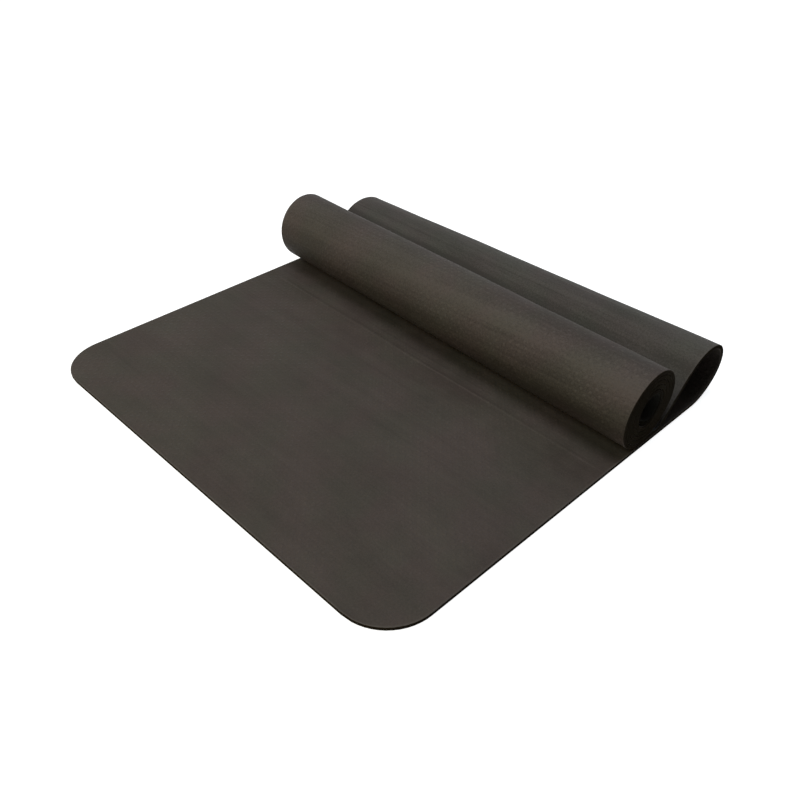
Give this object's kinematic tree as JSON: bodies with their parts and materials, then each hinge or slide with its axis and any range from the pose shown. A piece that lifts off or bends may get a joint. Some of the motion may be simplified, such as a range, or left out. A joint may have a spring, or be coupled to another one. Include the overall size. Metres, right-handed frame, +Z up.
{
  "type": "yoga mat",
  "caption": "Dark foam yoga mat lying partly flat, folded back over itself at the rear and wound into a roll on its own top face.",
  "frame": {"origin": "middle of the bounding box at floor level", "axes": "+X along the mat's width, +Y from the flat front edge to the fold at the back, +Z up"},
  "size_m": [0.61, 0.5715, 0.0999],
  "materials": {
    "top_foam": "matte fine-grained dark grey foam",
    "base_foam": "matte fine-grained dark grey foam"
  },
  "bodies": {
    "flat": {"flat_top_ply": "top_foam", "flat_base_ply": "base_foam", "rise_top_ply": "top_foam", "rise_base_ply": "base_foam"},
    "fold_strip_1": {"fold_strip_1_top_ply": "top_foam", "fold_strip_1_base_ply": "base_foam"},
    "fold_strip_2": {"fold_strip_2_top_ply": "top_foam", "fold_strip_2_base_ply": "base_foam"},
    "rolled_end": {"slope_top_ply": "top_foam", "slope_base_ply": "base_foam", "rolled_end_top_ply": "top_foam", "rolled_end_base_ply": "base_foam"},
    "front_strip_1": {"front_strip_1_top_ply": "top_foam", "front_strip_1_base_ply": "base_foam"},
    "front_strip_2": {"front_strip_2_top_ply": "top_foam", "front_strip_2_base_ply": "base_foam"},
    "front_leaf": {"front_leaf_top_ply": "top_foam", "front_leaf_base_ply": "base_foam"}
  },
  "joints": [
    {"name": "fold_line_1", "type": "hinge", "parent": "flat", "child": "fold_strip_1", "pos_m": [0, 0.25993, 0.01168], "axis": [-0.9992, 0.0402, -0.0064], "range_deg": [0, 36]},
    {"name": "fold_line_2", "type": "hinge", "parent": "fold_strip_1", "child": "fold_strip_2", "pos_m": [0, 0.26936, 0.05046], "axis": [-0.9989, 0.0407, -0.0242], "range_deg": [0, 60]},
    {"name": "back_fold_opens", "type": "hinge", "parent": "fold_strip_2", "child": "rolled_end", "pos_m": [0, 0.21805, 0.06681], "axis": [-0.9986, 0.0412, -0.0322], "range_deg": [0, 60]},
    {"name": "front_line_1", "type": "hinge", "parent": "flat", "child": "front_strip_1", "pos_m": [0, -0.09578, 0.005], "axis": [-1, 0, 0], "range_deg": [0, 30]},
    {"name": "front_line_2", "type": "hinge", "parent": "front_strip_1", "child": "front_strip_2", "pos_m": [0, -0.13578, 0.005], "axis": [-1, 0, 0], "range_deg": [0, 30]},
    {"name": "front_end_lifts", "type": "hinge", "parent": "front_strip_2", "child": "front_leaf", "pos_m": [0, -0.17578, 0.005], "axis": [-1, 0, 0], "range_deg": [0, 30]}
  ],
  "couplings": [
    {"joint": "fold_line_1", "follows": "back_fold_opens", "ratio": 0.6},
    {"joint": "fold_line_2", "follows": "back_fold_opens", "ratio": 1},
    {"joint": "front_line_1", "follows": "front_end_lifts", "ratio": 1},
    {"joint": "front_line_2", "follows": "front_end_lifts", "ratio": 1}
  ]
}
